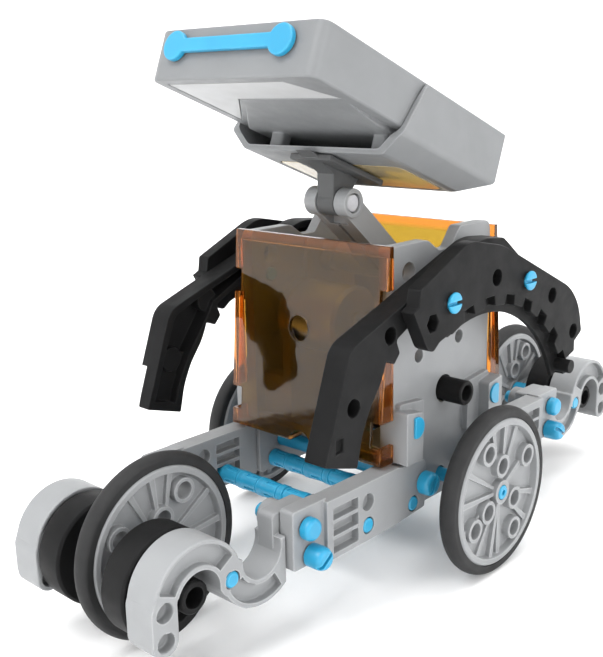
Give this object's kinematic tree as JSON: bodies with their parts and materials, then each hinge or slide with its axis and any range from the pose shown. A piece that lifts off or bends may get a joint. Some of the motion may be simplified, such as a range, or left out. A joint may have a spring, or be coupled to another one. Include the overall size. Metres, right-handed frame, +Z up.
{
  "type": "two wheel robot car",
  "caption": "Robotics kit car: geared housing on big driven wheels, free wheels in front and behind on S-shaped arms, black fenders and a tilting solar panel on top.",
  "frame": {"origin": "bottom centre of the bounding box, on the floor under the driven axle", "axes": "+Z up; -Y front, towards which the panel's raised edge points; +X the car's right side as seen from the front"},
  "size_m": [0.0928, 0.204, 0.1426],
  "materials": {
    "grey_plastic": "satin moulded ABS, light grey",
    "dark_grey_plastic": "satin moulded ABS, mid grey",
    "blue_plastic": "smooth moulded plastic, bright blue",
    "black_plastic": "satin moulded plastic, black",
    "tyre_rubber": "matt soft rubber ring, dark grey",
    "amber_cover": "clear amber plastic, glossy",
    "steel": "plain bright steel",
    "solar_cell": "dark blue cell under clear resin"
  },
  "bodies": {
    "chassis": {"housing_right": "grey_plastic", "housing_left": "grey_plastic", "beam_front_right": "grey_plastic", "beam_front_left": "grey_plastic", "beam_rear_right": "grey_plastic", "beam_rear_left": "grey_plastic", "wheel_arm_front_right": "grey_plastic", "wheel_arm_front_left": "grey_plastic", "wheel_arm_rear_right": "grey_plastic", "wheel_arm_rear_left": "grey_plastic", "strut": "grey_plastic", "cover_front": "amber_cover", "cover_rear": "amber_cover", "spacer_disc_front_right": "black_plastic", "spacer_disc_front_left": "black_plastic", "spacer_disc_rear_right": "black_plastic", "spacer_disc_rear_left": "black_plastic", "fender_right": "black_plastic", "fender_left": "black_plastic", "fender_arc_right": "black_plastic", "fender_arc_left": "black_plastic", "cross_tube_front": "blue_plastic", "cross_tube_rear": "blue_plastic", "low_tube_front": "blue_plastic", "low_tube_rear": "blue_plastic", "bolted_tube_front": "blue_plastic", "bolted_tube_rear": "blue_plastic", "flange_pin_front_right": "blue_plastic", "flange_pin_front_left": "blue_plastic", "flange_pin_rear_right": "blue_plastic", "flange_pin_rear_left": "blue_plastic", "flange_bolt_front_right": "blue_plastic", "flange_bolt_front_left": "blue_plastic", "flange_bolt_rear_right": "blue_plastic", "flange_bolt_rear_left": "blue_plastic", "fender_bolt_front_right": "blue_plastic", "fender_bolt_front_left": "blue_plastic", "fender_bolt_rear_right": "blue_plastic", "fender_bolt_rear_left": "blue_plastic", "motor": "steel", "hinge_pin": "steel"},
    "drive": {"drive_axle": "blue_plastic", "drive_gear": "black_plastic", "rim_right": "grey_plastic", "rim_left": "grey_plastic", "tyre_right": "tyre_rubber", "tyre_left": "tyre_rubber"},
    "takeoff": {"takeoff_shaft": "black_plastic"},
    "motor_shaft": {"motor_pinion": "black_plastic"},
    "front_wheel": {"rim_front": "grey_plastic", "tyre_front": "tyre_rubber", "axle_front": "blue_plastic"},
    "rear_wheel": {"rim_rear": "grey_plastic", "tyre_rear": "tyre_rubber", "axle_rear": "blue_plastic"},
    "panel": {"hinge_bracket": "dark_grey_plastic", "panel_case": "grey_plastic", "panel_tray": "grey_plastic", "solar_cell": "solar_cell", "panel_bar": "blue_plastic"}
  },
  "joints": [
    {"name": "drive_spin", "type": "hinge", "parent": "chassis", "child": "drive", "pos_m": [0, 0, 0.023], "axis": [1, 0, 0], "continuous": true},
    {"name": "takeoff_spin", "type": "hinge", "parent": "chassis", "child": "takeoff", "pos_m": [0, 0.0013, 0.0476], "axis": [1, 0, 0], "continuous": true},
    {"name": "motor_spin", "type": "hinge", "parent": "chassis", "child": "motor_shaft", "pos_m": [0, -0.008, 0.0646], "axis": [1, 0, 0], "continuous": true},
    {"name": "front_wheel_spin", "type": "hinge", "parent": "chassis", "child": "front_wheel", "pos_m": [0, -0.079, 0.023], "axis": [1, 0, 0], "continuous": true},
    {"name": "rear_wheel_spin", "type": "hinge", "parent": "chassis", "child": "rear_wheel", "pos_m": [0, 0.079, 0.023], "axis": [1, 0, 0], "continuous": true},
    {"name": "panel_tilt", "type": "hinge", "parent": "chassis", "child": "panel", "pos_m": [0, -0.014, 0.0983], "axis": [1, 0, 0], "range_deg": [-12, 40]}
  ],
  "couplings": [
    {"joint": "takeoff_spin", "follows": "drive_spin", "ratio": -0.60526},
    {"joint": "motor_spin", "follows": "drive_spin", "ratio": 2.3}
  ]
}
